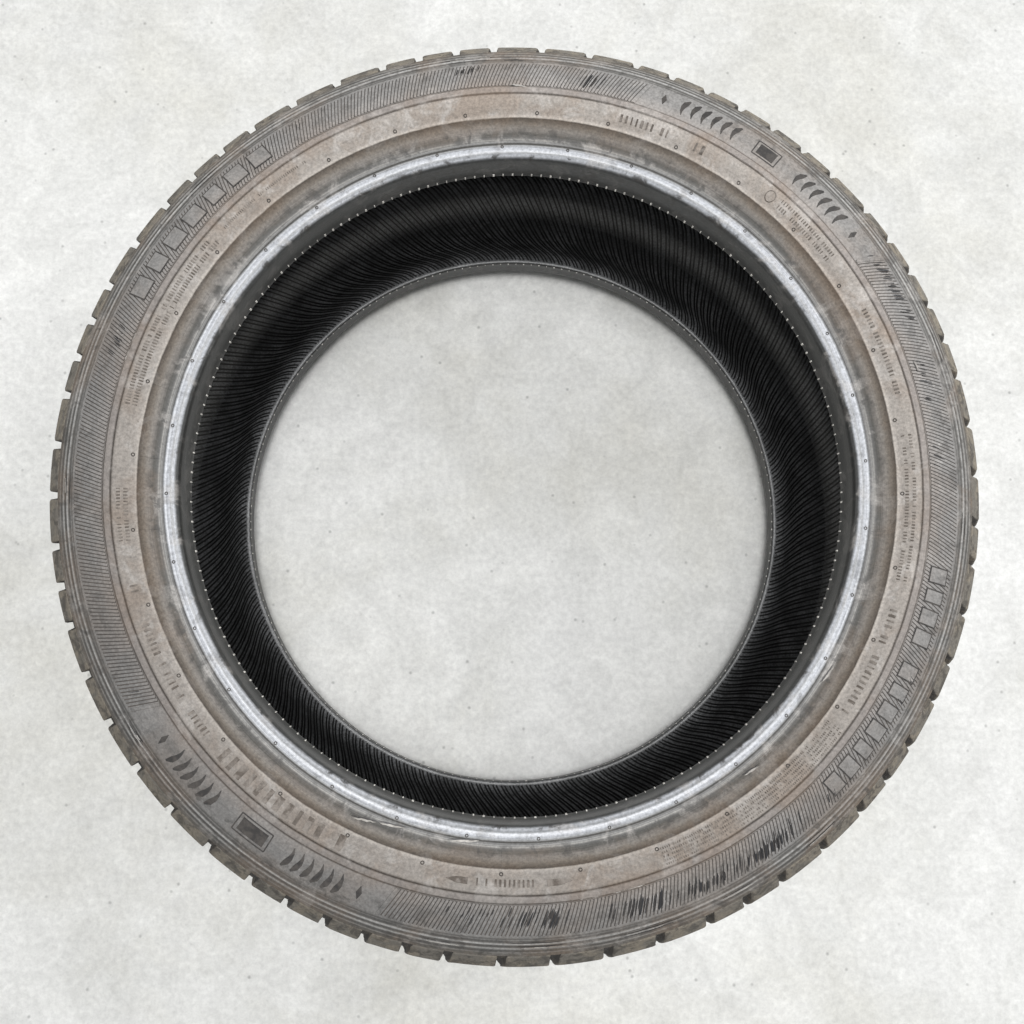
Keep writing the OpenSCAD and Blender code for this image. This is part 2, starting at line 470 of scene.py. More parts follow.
# Painted shade: the dark stop in the guard's hollow (18.6 mm), the darkening towards the lip and the thin
# dark lines at the lip (27.1 mm) and at the flat ridge's edges (43.8, 49.2 mm) stand for shade.
walls = by_radius(tree, where["Wavy Radius"], [
    (12.2, bead_dark), (13.6, worn(150, 149, 147)), (14.6, worn(156, 154, 150)), (16.0, bead_dark),
    (18.6, hollow_shade), (20.6, worn(134, 129, 124)), (22.4, taupe), (24.6, worn(140, 131, 121)),
    (26.6, worn(112, 103, 94)), (27.1, crease_shade), (27.6, lip_pale), (29.0, band_beige),
    (36.0, band_outer), (43.0, band_outer), (43.8, crease_shade), (44.6, ridge_grey), (48.4, ridge_grey),
    (49.2, crease_shade), (50.2, rib_warm), (60, rib_cool), (72.6, rib_cool), (74.5, worn(118, 116, 113)),
    (78, buttress), (84, buttress), (88, worn(118, 112, 104)), (107, worn(108, 102, 94))])
radius = where["Radius"]
past_bead = much_by_radius(tree, radius, [(11.8, 0), (12.6, 1)])
zones = mixed(tree, past_bead, bead, walls)
pale_lines = much_by_radius(tree, radius, [
    (75.2, 0), (75.6, 0.7), (76.1, 0), (77.9, 0), (78.4, 1), (79.2, 1), (79.6, 0), (81.5, 0),
    (82.0, 1), (82.8, 1), (83.2, 0), (85.2, 0), (85.6, 0.6), (86.1, 0)])
zones = mixed(tree, pale_lines, zones, line_pale)
dark_lines = much_by_radius(tree, radius, [
    (11.7, 0), (12.0, 0.9), (12.4, 0), (13.0, 0.8), (13.4, 0), (14.2, 0.6), (14.6, 0),
    (74.0, 0), (74.4, 0.9), (75.0, 0), (76.2, 0.7), (77.4, 0.8), (77.9, 0), (79.6, 0),
    (80.0, 0.9), (81.0, 0.8), (81.5, 0), (83.2, 0), (83.6, 0.9), (84.8, 0.7), (85.2, 0),
    (86.2, 0), (86.8, 0.6), (88, 0.1)])
zones = mixed(tree, dark_lines, zones, line_dark)
brown_much = much_by_radius(tree, radius, [
    (13, 0), (16, 0.2), (26, 0.3), (30, 0.42), (43, 0.45), (50, 0.3), (60, 0.15), (90, 0.4)])
pale_much = much_by_radius(tree, radius, [
    (-2, 0.1), (0.4, 0.12), (2, 0.5), (4, 0.3), (12, 0.3), (15, 0.5), (22, 0.12), (28, 0.2),
    (30, 0.6), (41, 0.5), (50, 0.15), (90, 0.25)])
grime_much = much_by_radius(tree, radius, [
    (-2, 0.9), (2.6, 0.85), (4, 0.3), (12, 0.35), (15, 0.85), (20, 0.6), (23, 0.12), (50, 0.15),
    (66, 0.35), (90, 0.6)])
film = dusted(tree, zones, worn(140, 118, 98), brown_much, 15.0, 0.09, 0.47)
film = dusted(tree, film, worn(198, 193, 188), pale_much, 42.0, 0.05, 0.43)
film = dusted(tree, film, worn(66, 64, 62), grime_much, 85.0, 0.06, 0.42)
speckle = grained(tree, film, 0.3, 480.0)
streaks = noise(tree, where["Along"], 3.0, 7.0, 0.72)
streaked = shaded(tree, speckle["Color"], streaks, 0.45, 1.3, 0.32, 0.64)
streak_much = much_by_radius(tree, radius, [
    (1, 0.7), (4, 0.5), (11, 0.55), (13, 0.9), (20, 0.7), (23, 0.25), (30, 0.2), (72, 0.15),
    (75, 0.75), (95, 0.5)])
film = mixed(tree, streak_much, speckle["Color"], streaked)
# Painted light: from the lip outwards the wall is painted paler towards the window lamp and darker away
# from it.
lit_side_much = much_by_radius(tree, radius, [(18, 0), (26, 0.6), (48, 1)])
film = mixed(tree, lit_side_much, film, scaled(tree, film, where["Cleaner"]))

# Fresh black rubber shows where it has been scuffed. How scuffed each point is, and which
# rib it lies on, are attributes of the mesh.
scuffed = put(tree, "ShaderNodeAttribute", attribute_name="scuffed").outputs["Fac"]
ribwise = put(tree, "ShaderNodeAttribute", attribute_name="ribwise").outputs["Fac"]
stroke = put(tree, "ShaderNodeCombineXYZ", {"X": ribwise, "Y": radius}).outputs[0]
stroke = put(tree, "ShaderNodeVectorMath", {0: stroke, 1: (560.0, 20.0, 1.0)}, operation="MULTIPLY")
bare = reckon(tree, "MULTIPLY_ADD", noise(tree, stroke.outputs[0], 1.0, 4.0, 0.6), 2.6, scuffed)
black = put(tree, "ShaderNodeMapRange", {"Value": bare, "From Min": 2.20, "From Max": 2.27}).outputs[0]
rubbed = put(tree, "ShaderNodeMapRange", {"Value": bare, "From Min": 2.02, "From Max": 2.20}).outputs[0]
film = mixed(tree, rubbed, film, shaded(tree, film, speckle["Height"], 1.25, 1.6))
film = mixed(tree, black, film, worn(34, 35, 40))
tree.links.new(film, shader.inputs["Base Color"])
rough = much_by_radius(tree, radius, [
    (-2, 0.5), (1, 0.42), (5, 0.34), (12, 0.42), (18, 0.62), (30, 0.72), (107, 0.8)])
tree.links.new(mixed(tree, black, rough, level(0.4)), shader.inputs["Roughness"])
roughen(tree, shader, speckle["Height"], 0.35, 0.0006)


def plain_rubber(name, colour, dirt, amount, scale, roughness, speck_much=0.25):
    """A rubber of one colour under a patchy film of dirt."""
    rubber, tree, shader = new_material(name)
    speckle = grained(tree, dusted(tree, colour, dirt, amount, scale, 0.1), speck_much, 500.0)
    tree.links.new(speckle["Color"], shader.inputs["Base Color"])
    shader.inputs["Roughness"].default_value = roughness
    roughen(tree, shader, speckle["Height"], 0.3, 0.0005)
    return rubber


# Painted shade: the floor between the ribs is painted dark, for the shade that falls between them.
rib_gap_shade = plain_rubber("dirt between the ribs", worn(80, 76, 73), worn(112, 103, 96), 0.5, 30.0, 0.85)

# Liner rubber: the air-tight inner skin, nearly black, greyed by the mould's powder.
liner_rubber = plain_rubber(
    "black liner rubber", worn(88, 89, 90), worn(140, 141, 143), 0.45, 30.0, 0.33, 0.7)

# Scuffs, as (clockwise turn, half its spread, height above the rim in mm, half its reach, strength)
scuffs = [
    (47, 4, 66, 8, 0.8), (57, 6, 66, 9, 1.0), (65, 4, 65, 8, 0.95), (73.5, 6, 63, 11, 1.0),
    (87.5, 6, 61, 12, 0.9), (97, 3, 62, 10, 0.75), (198, 4, 62, 8, 0.8), (262, 5, 66, 9, 0.7),
    (333, 7, 66, 9, 0.9), (346, 4, 60, 11, 0.85), (357.5, 4, 58, 9, 0.75), (280, 1.5, 60, 12, 1.0),
    (12, 3, 64, 8, 0.7), (30, 5, 66, 8, 0.75), (184, 2.5, 64, 8, 0.7), (150, 2.0, 62, 10, 0.7),
    (238, 2, 64, 9, 0.7),
]
rib_slant = math.radians(22)


def clockwise(degrees):
    """The turn about the axis, in radians, of an angle given clockwise from above."""
    return -math.radians(degrees)


def paint_scuffs(mesh):
    """Writes how scuffed each point of a mesh's upper side is, and which rib it lies on."""
    spots = np.zeros(len(mesh.vertices) * 3)
    mesh.vertices.foreach_get("co", spots)
    x, y, z = spots.reshape(-1, 3).T
    r = np.hypot(x, y)
    turn = np.arctan2(y, x)
    most = np.zeros(len(r))
    for degrees, half, height, reach, strength in scuffs:
        away = (turn - clockwise(degrees) + math.pi) % (2 * math.pi) - math.pi
        near = 1 - np.abs(away) / math.radians(half)
        level_with = 1 - np.abs(r - rim_r - height * MM) / (reach * MM)
        window = np.clip(near * 1.5, 0, 1) * np.clip(level_with * 1.7, 0, 1)
        most = np.maximum(most, window * strength)
    most[z < middle] = 0
    on_rib = turn * 0.315 + math.tan(rib_slant) * r  # 0.315 is the ribbed band's middle radius
    for label, values in (("scuffed", most), ("ribwise", on_rib)):
        mesh.attributes.new(label, "FLOAT", "POINT").data.foreach_set("value", values.astype(np.float32))


hatch_foot, hatch_top = 0.035, 0.595  # where the ribbed band starts and stops up the wall
hatch_sunk = 0.55 * MM


def side_profile():
    """The section from the foot of the blocks in to the toe, then back inside.

    Gives the points, how many lie outside, and which rows are the ribbed band's floor.
    """
    points = [upper_wall(1 - 0.013 * i) for i in range(11)]
    for peak in (0.82, 0.74):
        out = upper_wall(peak) + (0.3 * MM, 0.75 * MM)
        points += [upper_wall(peak + 0.014), upper_wall(peak + 0.008) * 0.4 + out * 0.6, out,
                   upper_wall(peak - 0.008) * 0.4 + out * 0.6, upper_wall(peak - 0.014)]
    points += [upper_wall(0.69), upper_wall(0.65), upper_wall(hatch_top)]
    band_first = len(points)
    for i in range(9):
        points.append(upper_wall(hatch_top - 0.006 + (hatch_foot - hatch_top + 0.006) * i / 8))
    band_last = len(points) - 1
    wall = side - ridge_up
    for h, w in ((ridge_half + 0.5 * MM, wall), (ridge_half, side - 0.1 * MM),
                 (ridge_half - 0.3 * MM, side), (-ridge_half + 0.3 * MM, side),
                 (-ridge_half, side - 0.1 * MM), (-ridge_half - 0.2 * MM, wall - 1.3 * MM),
                 (-ridge_half - 1.0 * MM, wall - 1.3 * MM)):
        points.append(np.array((ridge_h + h, w)))
    points += [lower_wall(1 - i / 10) for i in range(11)]
    points += [lip + (1.2 * MM, 0.35 * MM), lip + (0.7 * MM, 0.2 * MM), lip, lip - 0.25 * MM]
    points += [guard(1 - i / 12) for i in range(13)]
    for h in (12.9, 12.5, 11.6, 11.2, 10.0, 9.6, 8.8, 8.5):
        step = -0.25 * MM if h in (12.5, 11.6, 9.6, 8.8) else 0
        points.append(np.array((h * MM, face + step)))
    points += [heel_arc(a) for a in range(90, -1, -9)]
    seat_in = face - heel - 12 * MM
    points += [np.array((0, seat_in + 6 * MM)), np.array((0, seat_in)),
               np.array((-0.9 * MM, seat_in - 4 * MM)), toe + (0.15 * MM, 1.5 * MM), toe,
               toe + (0.5 * MM, -1.1 * MM)]
    outer_count = len(points)
    points += [liner_wall(i / 15) for i in range(15)]
    points += [liner_corner(i / 12) for i in range(13)]
    for i in range(1, 6):
        w = corner_w * (1 - i / 6)
        points.append(np.array((crown_h(w) - crown_t, w)))
    return np.array(points), outer_count, (band_first, band_last)


# Two smooth panels on each side interrupt the ribs.
panels = [(clockwise(147), clockwise(106.5)),
          (clockwise(327.5) + 2 * math.pi, clockwise(287) + 2 * math.pi)]


def in_panel(turn):
    """Whether a turn lies in one of the smooth panels."""
    turn = (turn + math.pi) % (2 * math.pi) - math.pi
    return any(a < turn < b for a, b in panels)


half_section, outer_count, band_rows = side_profile()
flipped = half_section[::-1] * (1, -1)
middle_liner = np.array([(crown_h(0) - crown_t, 0)])
under_tread = np.array([  # the carcass runs 7.5 mm under the crown, inside the tread's rubber
    (crown_h(w * MM) - 7.5 * MM, w * MM) for w in (-98, -60, -20, 20, 60, 98)])
section = np.concatenate([half_section, middle_liner, flipped, under_tread])
# A column each degree, and a pair close to each end of the panels, where the ribs stop
turns = np.radians(np.arange(360))
panel_ends = [t + math.radians(d) for ends in panels for t in ends for d in (-0.25, 0.25)]
turns = np.sort(np.concatenate([turns, np.mod(panel_ends, 2 * math.pi)]))
smooth_columns = np.array([in_panel(t) for t in turns])
band_floor = np.zeros(len(section), bool)
band_floor[band_rows[0]:band_rows[1] + 1] = True
last = 2 * len(half_section)
band_floor[last - band_rows[1]:last - band_rows[0] + 1] = True
rows = np.repeat(section[:, None, :], len(turns), axis=1)
sunk = band_floor[:, None] & ~smooth_columns[None, :]
rows[..., 1] -= np.sign(section[:, 1])[:, None] * hatch_sunk * sunk
# The columns lean with the ribs across the band, so that the panels' ends do too.
hatch_low = upper_wall(hatch_foot)[0]
hatch_high = upper_wall(hatch_top)[0]
outside = np.arange(len(section)) < band_rows[1] + 1
outside |= np.arange(len(section)) > last - band_rows[1] - 1
up_band = np.clip(section[:, 0], hatch_low, hatch_high) - hatch_low
leans = np.where(outside, up_band, 0) * math.tan(rib_slant)
leans[-len(under_tread):] = 0
slanted = turns[None, :] - (leans / (rim_r + section[:, 0]))[:, None]
carcass_mesh = ring_mesh("side_walls", rows, slanted)
for rubber in (wall_rubber, liner_rubber, rib_gap_shade):
    carcass_mesh.materials.append(rubber)
row_ids = np.arange(len(section))
finish = np.zeros((len(section), len(turns)), np.int32)
finish[(row_ids >= outer_count - 1) & (row_ids < last + 1 - outer_count)] = 1
band_faces = band_floor & np.roll(band_floor, -1)
# The ribbed band's floor takes the painted shade between the ribs.
finish[band_faces[:, None] & ~smooth_columns[None, :]] = 2
carcass_mesh.polygons.foreach_set("material_index", finish.reshape(-1))
paint_scuffs(carcass_mesh)
tyre_piece(add_object("side_walls", carcass_mesh))

# ---------------------------------------------------------------------------
# Tread: rubber blocks between arrow-shaped cross grooves and four grooves that
# run round. Long and short pitches follow each other unevenly, which keeps the
# tread quiet. It is worn, so the grooves are shallow and the corners round.

tread_rubber, tree, shader = new_material("worn tread rubber")
where = put(tree, "ShaderNodeGroup", {"Stretch": 90.0, "Waver": 0.004}, node_tree=ring_place).outputs
tops = by_radius(tree, where["Wavy Radius"], [
    (86, worn(122, 117, 110)), (92, worn(124, 119, 111)), (98, worn(130, 125, 116)),
    (101, worn(122, 117, 110)), (107, worn(112, 109, 104))])
film = dusted(tree, tops, worn(152, 142, 126), 0.6, 60.0, 0.07)
film = dusted(tree, film, worn(70, 66, 62), 0.7, 110.0, 0.07, 0.46)
pit = dusted(tree, worn(50, 46, 43), worn(104, 93, 78), 0.7, 60.0, 0.1, 0.42)
groove_deep = put(tree, "ShaderNodeAttribute", attribute_name="groove").outputs["Fac"]
deep = put(tree, "ShaderNodeMapRange", {"Value": groove_deep, "From Min": 0.06, "From Max": 0.4})
film = mixed(tree, deep.outputs[0], film, pit)
# Painted light: the tread is painted paler towards the window lamp and darker away from it.
speckle = grained(tree, scaled(tree, film, where["Cleaner"]), 0.28, 480.0)
tree.links.new(speckle["Color"], shader.inputs["Base Color"])
shader.inputs["Roughness"].default_value = 0.85
roughen(tree, shader, speckle["Height"], 0.45, 0.0007)

pitch_runs = [1, 2, 1, 1, 2, 2, 2, 5, 5, 6, 2, 3, 3, 2, 3, 3, 3, 3, 6, 1, 5, 3]
pitches = [1.28 if i % 2 else 1.0 for i, run in enumerate(pitch_runs) for _ in range(run)]
short_pitch = math.radians(360 / sum(pitches))
first_groove = math.radians(6)
groove_turns = [-first_groove - sum(pitches[:i]) * short_pitch for i in range(len(pitches))]
groove_depth = 5.0 * MM
sipe_depth = 3.2 * MM
outer_groove, inner_groove = 72 * MM, 27 * MM
groove_end = 9 * MM
outer_slant, inner_slant = math.radians(8), math.radians(38)
stagger = 0.5 * short_pitch
groove_zero = 100 * MM  # the distance from the middle where a cross groove stands at its turn


def across_path(w):
    """How far a cross groove has moved round the tyre at a distance w from the middle."""
    if abs(w) >= outer_groove:
        return (abs(w) - groove_zero) * math.tan(outer_slant)
    bend = (groove_zero - outer_groove) * math.tan(outer_slant)
    return -bend - (outer_groove - max(abs(w), groove_end)) * math.tan(inner_slant)


def half_width(w):
    """Half the width of a cross groove at a distance w from the middle."""
    if abs(w) >= outer_groove:
        return 2.5 * MM + (abs(w) - outer_groove) / 56  # widens by 1 in 56
    return 2.0 * MM + 0.5 * MM * (abs(w) - groove_end) / (outer_groove - groove_end)


# Rows across the tread: (distance, height of the top, height of the groove's floor, ring groove)
tread_rows = []
for w, top, base in (
        (122, 88.5, 88.5), (119.8, 90.7, 89.3), (117.5, 93.0, 90.2), (115.3, 95.2, 91.2),
        (113.0, 97.5, 92.2), (112.0, 98.6, 92.7), (110.6, 99.4, 93.4), (107, 100.7, 94.9),
        (102.5, 102.1, 96.8), (98, 103.3, 98.3)):
    tread_rows.append((w * MM, top * MM, base * MM, 0.0))
edges = [outer_groove / MM, inner_groove / MM]
stations = [94, 90, 86, 82, 78.5]
for centre in edges:
    stations += [centre + 3.5, centre + 3.1, centre + 2.3, centre - 2.3, centre - 3.1, centre - 3.5]
    if centre == edges[0]:
        stations += [64, 60, 56, 52, 48, 44, 40, 36, 32.5]
stations += [20, 17, 14, 11.5, 9, 5]
for w in stations:
    ringed = 1.0 if any(abs(w - c) < 2.5 for c in edges) else 0.0
    tread_rows.append((w * MM, crown_h(w * MM), crown_h(w * MM) - groove_depth, ringed))
tread_rows += [(-w, t, b, g) for w, t, b, g in reversed(tread_rows)]

# Columns round the tread: (groove's turn, which side of it, metres from its edge, kind, pitch)
columns = []
for i, centre in enumerate(groove_turns):
    for hand, away, kind in (
            (-1, 1.3 * MM, "top"), (-1, 0.25 * MM, "edge"), (-1, -0.5 * MM, "floor"),
            (1, -0.5 * MM, "floor"), (1, 0.25 * MM, "edge"), (1, 1.3 * MM, "top")):
        columns.append((centre, hand, hand * away, kind, i))
    sipes = 3 if pitches[i] == 1.0 else 4
    for k in range(sipes):
        at = centre - pitches[i] * short_pitch * (k + 1) / (sipes + 1)
        for away, kind in ((-0.42 * MM, "sipe edge"), (0.0, "sipe"), (0.42 * MM, "sipe edge")):
            columns.append((at, 0, away, kind, i))
# In their order round the tyre, with a groove 7.4 mm wide
columns.sort(key=lambda c: c[0] + (c[1] * 3.7 * MM + c[2]) / high[0])
sunk_by = {"top": 0.0, "edge": 0.1, "floor": 1.0, "sipe edge": 0.0, "sipe": 0.0}

wear = np.random.default_rng(7)
block_low = wear.uniform(0.1, 0.5, (len(pitches), 5)) * MM
ragged = wear.uniform(-0.4, 0.4, (len(tread_rows), len(pitches), 3)) * MM
grid = np.zeros((len(tread_rows), len(columns), 2))
grid_turns = np.zeros((len(tread_rows), len(columns)))
grooved = np.zeros((len(tread_rows), len(columns)))
for j, (w, top, base, ringed) in enumerate(tread_rows):
    a = abs(w)
    opened = min(1.0, max(0.0, (a - groove_end) / (2.5 * MM)))
    shift = across_path(w) / (rim_r + top) + (stagger if w < 0 else 0)
    if a < groove_end:
        shift = across_path(0) / (rim_r + top) + stagger * (groove_end - w) / (2 * groove_end)
    zigzag = 0.9 * MM * (2 * abs((a / (7 * MM)) % 1 - 0.5) - 0.5)
    lane = 0 if a > outer_groove else 1 if a > inner_groove else 2
    for k, (centre, hand, away, kind, pitch) in enumerate(columns):
        offset = hand * half_width(w) + away + hand * ragged[j, pitch, hand]
        drop = sunk_by[kind] * opened
        if kind.startswith("sipe"):
            offset += zigzag
            if kind == "sipe" and 12 * MM < a < 108 * MM:
                drop = sipe_depth / groove_depth
        drop = max(drop, ringed)
        h = top + (base - top) * drop
        if drop == 0 and a < 112 * MM:
            h -= block_low[pitch][lane + (2 if w < 0 and lane < 2 else 0)]
        grid[j, k] = (h, w)
        grid_turns[j, k] = centre + shift + offset / (rim_r + top)
        grooved[j, k] = drop

# The tread's own underside, 8.6 mm under the crown and out of sight inside the carcass
under = [(crown_h(w * MM) - 8.6 * MM, w * MM) for w in (-100, -60, 0, 60, 100)]
under_turns = [c[0] + c[1] * 2.7 * MM / high[0] for c in columns]
grid = np.concatenate([grid, np.repeat(np.array(under)[:, None, :], len(columns), axis=1)])
grid_turns = np.concatenate([grid_turns, np.repeat([under_turns], len(under), axis=0)])
tread_mesh = ring_mesh("tread", grid, grid_turns)
grooved = np.concatenate([grooved.reshape(-1), np.ones(len(under) * len(columns))])
tread_mesh.attributes.new("groove", "FLOAT", "POINT").data.foreach_set("value", grooved.astype(np.float32))
tread_mesh.materials.append(tread_rubber)
tyre_piece(add_object("tread", tread_mesh))

# ---------------------------------------------------------------------------
# Ribbed bands: fine slanted ribs moulded round each side wall between the flat
# ridge and the fine lines. A raised border closes them off at the two panels.

# Geometry Nodes sets one small shape down at every point of a cloud, turned about the
# axis by the point's own turn and stretched by its own swell.
around = bpy.data.node_groups.new("repeat round the tyre", "GeometryNodeTree")
for label, way, kind in (("Geometry", "INPUT", "Geometry"), ("Shape", "INPUT", "Object"),
                         ("Finish", "INPUT", "Material"), ("Geometry", "OUTPUT", "Geometry")):
    around.interface.new_socket(label, in_out=way, socket_type="NodeSocket" + kind)
given = around.nodes.new("NodeGroupInput").outputs
made = around.nodes.new("NodeGroupOutput").inputs
turn = put(around, "GeometryNodeInputNamedAttribute", {"Name": "turn"}, data_type="FLOAT")
swell = put(around, "GeometryNodeInputNamedAttribute", {"Name": "swell"}, data_type="FLOAT_VECTOR")
about_z = put(around, "ShaderNodeCombineXYZ", {"Z": turn.outputs["Attribute"]})
shape = put(around, "GeometryNodeObjectInfo", {"Object": given["Shape"], "As Instance": True})
cloud = put(around, "GeometryNodeMeshToPoints", {"Mesh": given["Geometry"]})
copies = put(around, "GeometryNodeInstanceOnPoints", {
    "Points": cloud.outputs["Points"], "Instance": shape.outputs["Geometry"],
    "Rotation": about_z.outputs[0], "Scale": swell.outputs["Attribute"]})
real = put(around, "GeometryNodeRealizeInstances", {"Geometry": copies.outputs["Instances"]})
finished = put(around, "GeometryNodeSetMaterial", {
    "Geometry": real.outputs[0], "Material": given["Finish"]})
around.links.new(finished.outputs[0], made["Geometry"])
around_inputs = {s.name: s.identifier for s in around.interface.items_tree if s.in_out == "INPUT"}


def repeat_round(shape_mesh, turns, finish, swells=None):
    """A mesh made of copies of a shape, each turned about the axis by an angle.

    swells gives each copy its own stretch along X, Y and Z, before it is turned.
    """
    shape_object = add_object("shape", shape_mesh)
    points = bpy.data.meshes.new("points")
    points.from_pydata([(0, 0, 0)] * len(turns), [], [])
    points.attributes.new("turn", "FLOAT", "POINT").data.foreach_set("value", list(turns))
    scales = np.ones((len(turns), 3)) if swells is None else np.asarray(swells)
    points.attributes.new("swell", "FLOAT_VECTOR", "POINT").data.foreach_set("vector", scales.ravel())
    holder = add_object("holder", points)
    modifier = holder.modifiers.new("repeat", "NODES")
    modifier.node_group = around
    modifier[around_inputs["Shape"]] = shape_object
    modifier[around_inputs["Finish"]] = finish
    bpy.context.view_layer.update()
    mesh = bpy.data.meshes.new_from_object(holder.evaluated_get(bpy.context.evaluated_depsgraph_get()))
    holder.modifiers.clear()
    bpy.data.objects.remove(holder)
    bpy.data.objects.remove(shape_object)
    return mesh


def both_sides(name, meshes, finish):
    """One piece on the upper side made of the meshes, and its mirror image on the lower."""
    for which in ("upper", "lower"):
        whole = bmesh.new()
        for mesh in meshes:
            whole.from_mesh(mesh)
        if which == "lower":
            flip = Matrix.Translation((0, 0, 2 * middle)) @ Matrix.Scale(-1, 4, (0, 0, 1))
            bmesh.ops.transform(whole, matrix=flip, verts=whole.verts)
            bmesh.ops.reverse_faces(whole, faces=whole.faces)
        mesh = bpy.data.meshes.new(which + "_" + name)
        whole.to_mesh(mesh)
        whole.free()
        if not mesh.materials:
            mesh.materials.append(finish)
        if finish == wall_rubber:
            paint_scuffs(mesh)
        tyre_piece(add_object(mesh.name, mesh))


def surface(points, by=None):
    """A surface of the section: gives the height, distance and normal at a place on it.

    The place is a height, or else it is told by the given values of the points.
    """
    points = np.array(points)
    by = points[:, 0] if by is None else by
    along = np.gradient(points, by, axis=0)

    def at(place):
        h, w, rise, run = (np.interp(place, by, values) for values in (*points.T, *along.T))
        return h, w, np.array((-run, rise)) / math.hypot(rise, run)
    return at


wall_at = surface([heel_arc(a) for a in range(0, 91, 6)] + [guard(i / 12) for i in range(13)] + [lip]
                  + [lower_wall(i / 12) for i in range(13)] + [upper_wall(i / 24) for i in range(25)])
floor_at = surface([upper_wall(i / 24) - (0, hatch_sunk) for i in range(25)])


def strip(path, widths, up, at=wall_at):
    """A raised strip along a path of (place, turn), as wide as given at each point."""
    sink = 0.3 * MM  # how far its foot lies inside the surface
    spots, normals = [], []
    for place, turn in path:
        h, w, (out_h, out_w) = at(place)
        c, s = math.cos(turn), math.sin(turn)
        spots.append(((rim_r + h) * c, (rim_r + h) * s, middle + w))
        normals.append((out_h * c, out_h * s, out_w))
    spots, normals = np.array(spots), np.array(normals)
    across = np.cross(normals, np.gradient(spots, axis=0))
    across /= np.linalg.norm(across, axis=1)[:, None]
    half = np.broadcast_to(np.asarray(widths) / 2, len(path))[:, None]
    inset = np.minimum(up * 0.35, half * 0.7)
    rings = np.stack([
        spots - across * half - normals * sink, spots - across * (half - inset) + normals * up,
        spots + across * (half - inset) + normals * up, spots + across * half - normals * sink], 1)
    faces = [(4 * i + k, 4 * i + 4 + k, 4 * i + 4 + (k + 1) % 4, 4 * i + (k + 1) % 4)
             for i in range(len(path) - 1) for k in range(4)]
    end = 4 * len(path)
    faces += [(0, 1, 2, 3), (end - 1, end - 2, end - 3, end - 4)]
    mesh = bpy.data.meshes.new("strip")
    mesh.from_pydata(rings.reshape(-1, 3).tolist(), [], faces)
    return mesh


def up_the_ribs(turn):
    """A line up the ribbed band that leans with the ribs."""
    heights = [upper_wall(hatch_foot + (hatch_top - hatch_foot) * i / 5)[0] for i in range(6)]
    return [(h, turn - math.tan(rib_slant) * (h - hatch_low) / (rim_r + h)) for h in heights]


rib_count = 720
rib_turns = [math.radians((i + 0.5) * 360 / rib_count) for i in range(rib_count)]
rib_turns = [t for t in rib_turns if not in_panel(t)]
thick = np.random.default_rng(11).uniform(0.99996, 1.00006, len(rib_turns))
rib_width, border_width = 2.15 * MM, 2.4 * MM
rib = strip(up_the_ribs(0), rib_width, hatch_sunk + 0.02 * MM, floor_at)
rib_sizes = np.ones((len(thick), 3))
rib_sizes[:, 2] = thick
ribs = repeat_round(rib, rib_turns, wall_rubber, rib_sizes)
borders = [strip(up_the_ribs(t), border_width, 0.5 * MM) for ends in panels for t in ends]
both_sides("ribs", [ribs] + borders, wall_rubber)

# ---------------------------------------------------------------------------
# Moulded marks: low bars in rows, where the maker's print would be, on the broad
# band between the lip and the ridge. Plain arrows and a ring stand between them.

# Rows as (from and to clockwise, height, length up the wall, bar width, spacing), in
# degrees and mm.
bar_rows = [
    (20, 37, 36, 4.5, 2.2, 4.0), (87.5, 96.5, 36, 4.5, 1.6, 3.2), (115, 137, 36.3, 9.5, 4.6, 8.0),
    (139, 144, 36, 4.5, 2.0, 3.6), (146, 152, 36, 4.5, 2.0, 3.6), (153, 158, 36, 4.5, 2.0, 3.6),
    (160, 164, 36, 4.5, 2.0, 3.6), (220, 236, 37, 1.6, 0.9, 1.7), (285.5, 294.5, 36, 5, 2.2, 4.0),
    (297.5, 301, 36, 6, 2.6, 5.2), (334, 348, 36, 3, 1.5, 2.8)]
bar_rows += [(39, 70, h, 1.2, 0.9, 1.6) for h in (31.2, 33.7, 36.2, 38.7, 41.2)]
for start, stop, low_row, high_row, reach in (
        (0, 16, 33.5, 38, 2), (170, 178, 34, 38.5, 2.4), (190, 218, 34.5, 39, 2.8),
        (313.5, 325, 34, 38.5, 2.4), (354, 360, 33.5, 38, 2)):
    bar_rows += [(start, stop, h, reach, 1.3, 2.3) for h in (low_row, high_row)]
print_rubber = plain_rubber("rubbed moulded marks", worn(92, 83, 75), worn(176, 168, 160), 0.45, 120.0, 0.7)
letters = np.random.default_rng(5)
marks = []
for start, stop, h, reach, width, spacing in bar_rows:
    count = int(math.radians(stop - start) * (rim_r / MM + h) / spacing)
    kept = [i for i in range(count) if letters.random() > 0.16]
    bar = strip([((h - reach / 2 + reach * k / 4) * MM, 0) for k in range(5)], width * MM, 0.45 * MM)
    sizes = np.ones((len(kept), 3))
    sizes[:, 1] = letters.uniform(0.55, 1.15, len(kept))
    marks.append(repeat_round(
        bar, [clockwise(start + (stop - start) * (i + 0.5) / count) for i in kept], print_rubber, sizes))
mark_h = 36 * MM  # the height of the two arrows and of the ring's middle
for start, stop in ((83, 86.5), (100.5, 97.5)):
    arrow = [(mark_h, clockwise(turn)) for turn in (start, (start + stop) / 2, stop)]
    marks.append(strip(arrow, np.array((0.4, 4.5, 4.5)) * MM, 0.4 * MM))
ring_reach = 4 * MM
ring_line = [(mark_h + ring_reach * math.sin(a),
              clockwise(311.8) + ring_reach * math.cos(a) / (rim_r + mark_h))
             for a in np.linspace(0, 2 * math.pi, 17)]
marks.append(strip(ring_line, 0.8 * MM, 0.4 * MM))
both_sides("wall_marks", marks, print_rubber)

# ---------------------------------------------------------------------------
# Panel marks: in each smooth panel, dark slanted strokes in two fans with a plain
# frame between them and a small lozenge at each end. Dark rubber, barely raised.
# Word blocks: plain raised blocks of wall rubber in the ribbed band, each on a dark one.

